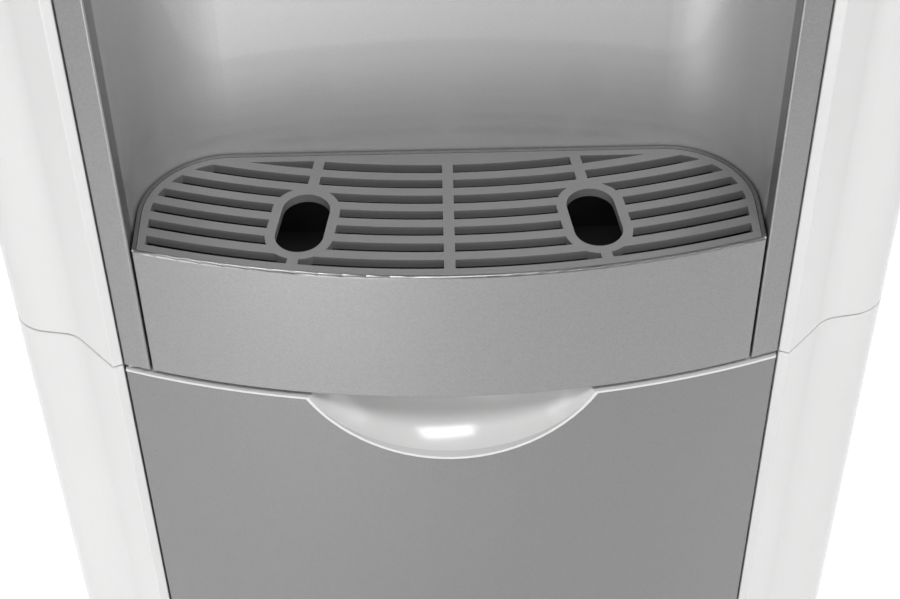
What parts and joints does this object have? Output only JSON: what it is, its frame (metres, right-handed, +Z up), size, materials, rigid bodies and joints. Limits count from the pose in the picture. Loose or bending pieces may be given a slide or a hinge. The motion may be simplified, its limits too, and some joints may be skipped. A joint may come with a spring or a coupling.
{
  "type": "water dispenser",
  "caption": "Floor-standing bottled-water dispenser with a bow front, a drip-tray niche, two taps and a storage cabinet below.",
  "frame": {"origin": "centre of the base on the floor", "axes": "+Z up, -Y out of the front, +X to the viewer's right when facing the front"},
  "size_m": [0.33, 0.35, 0.991],
  "materials": {
    "white_gloss": "gloss",
    "silver_moulding": "metallic satin",
    "silver_door": "metallic satin",
    "niche_silver": "satin",
    "grille_grey": "satin",
    "black_plastic": "satin",
    "grey_plastic": "satin",
    "zinc_sheet": "galvanised",
    "black_rubber": "matte",
    "clear_shelf": "clear",
    "smoked_plate": "gloss",
    "lamp_lens": "gloss",
    "foam": "matte",
    "stainless": "satin",
    "copper": "satin",
    "black_paint": "satin",
    "hose": "matte",
    "red_gloss": "gloss",
    "blue_gloss": "gloss",
    "green_gloss": "gloss",
    "tap_white": "gloss",
    "zinc_screw": "satin",
    "magnet": "matte"
  },
  "bodies": {
    "cabinet": {"lower_side_panel_left": "white_gloss", "lower_side_panel_right": "white_gloss", "upper_side_panel_left": "white_gloss", "upper_side_panel_right": "white_gloss", "base_pan": "zinc_sheet", "foot": "black_rubber", "kickplate": "white_gloss", "mid_deck": "zinc_sheet", "rear_panel": "zinc_sheet", "screw": "zinc_screw", "cabinet_liner": "grey_plastic", "cabinet_shelf": "clear_shelf", "front_fascia": "silver_moulding", "indicator_plate": "smoked_plate", "indicator_lens": "lamp_lens", "niche_liner": "niche_silver", "top_cover": "white_gloss", "hinge_bracket": "zinc_screw", "magnet_catch": "magnet", "cold_tap": "tap_white", "hot_tap": "tap_white", "tap_pivot_pin": "stainless", "tap_collar": "tap_white", "tap_nut": "tap_white", "cold_tank": "stainless", "cold_tank_lid": "tap_white", "cold_insulation": "foam", "tank_beam": "zinc_sheet", "evaporator_coil": "copper", "hot_tank": "stainless", "hot_tank_jacket": "foam", "cold_water_hose": "hose", "hot_water_hose": "hose", "feed_hose": "hose", "drain_pipe": "hose", "compressor": "black_paint", "compressor_grommet": "black_rubber", "condenser_tube": "black_paint", "condenser_wires": "black_paint", "condenser_standoff": "zinc_sheet", "filter_drier": "copper", "capillary_tube": "copper", "suction_line": "copper", "power_inlet": "black_plastic", "switch_housing": "black_plastic"},
    "door": {"door_skin": "silver_door", "door_liner": "white_gloss", "door_gasket": "black_rubber", "strike_plate": "zinc_screw"},
    "tray": {"drip_tray": "silver_moulding", "drip_pan": "black_plastic"},
    "grille": {"drip_grille": "grille_grey"},
    "cold_lever": {"cold_lever": "blue_gloss"},
    "hot_lever": {"hot_lever": "red_gloss"},
    "hot_lock": {"hot_lock_button": "red_gloss"},
    "seat": {"bottle_seat": "tap_white", "bottle_probe": "blue_gloss"},
    "cold_rocker": {"cold_rocker": "green_gloss"},
    "hot_rocker": {"hot_rocker": "red_gloss"},
    "drain_cap": {"drain_cap": "tap_white"}
  },
  "joints": [
    {"name": "door_hinge", "type": "hinge", "parent": "cabinet", "child": "door", "pos_m": [-0.112, -0.1515, 0.302], "axis": [0, 0, -1], "range_deg": [0, 100]},
    {"name": "tray_slide", "type": "slide", "parent": "cabinet", "child": "tray", "axis": [0, -1, 0], "range_m": [0, 0.09]},
    {"name": "grille_lift", "type": "slide", "parent": "tray", "child": "grille", "axis": [0, 0, 1], "range_m": [0, 0.05]},
    {"name": "cold_lever_hinge", "type": "hinge", "parent": "cabinet", "child": "cold_lever", "pos_m": [-0.05098, -0.146, 0.815], "axis": [1, 0, 0], "range_deg": [0, 10], "stiffness_Nm_per_rad": 0.5},
    {"name": "hot_lever_hinge", "type": "hinge", "parent": "cabinet", "child": "hot_lever", "pos_m": [0.05098, -0.146, 0.815], "axis": [1, 0, 0], "range_deg": [0, 10], "stiffness_Nm_per_rad": 0.5},
    {"name": "hot_lock_press", "type": "slide", "parent": "hot_lever", "child": "hot_lock", "axis": [0, 0, -1], "range_m": [0, 0.0015], "stiffness_N_per_m": 200},
    {"name": "seat_lift", "type": "slide", "parent": "cabinet", "child": "seat", "axis": [0, 0, 1], "range_m": [0, 0.08]},
    {"name": "cold_rocker_hinge", "type": "hinge", "parent": "cabinet", "child": "cold_rocker", "pos_m": [0.136, 0.1305, 0.926], "axis": [1, 0, 0], "range_deg": [-16, 0]},
    {"name": "hot_rocker_hinge", "type": "hinge", "parent": "cabinet", "child": "hot_rocker", "pos_m": [0.136, 0.1305, 0.89], "axis": [1, 0, 0], "range_deg": [-16, 0]},
    {"name": "cap_pull", "type": "slide", "parent": "cabinet", "child": "drain_cap", "axis": [0, 1, 0], "range_m": [0, 0.025]}
  ]
}
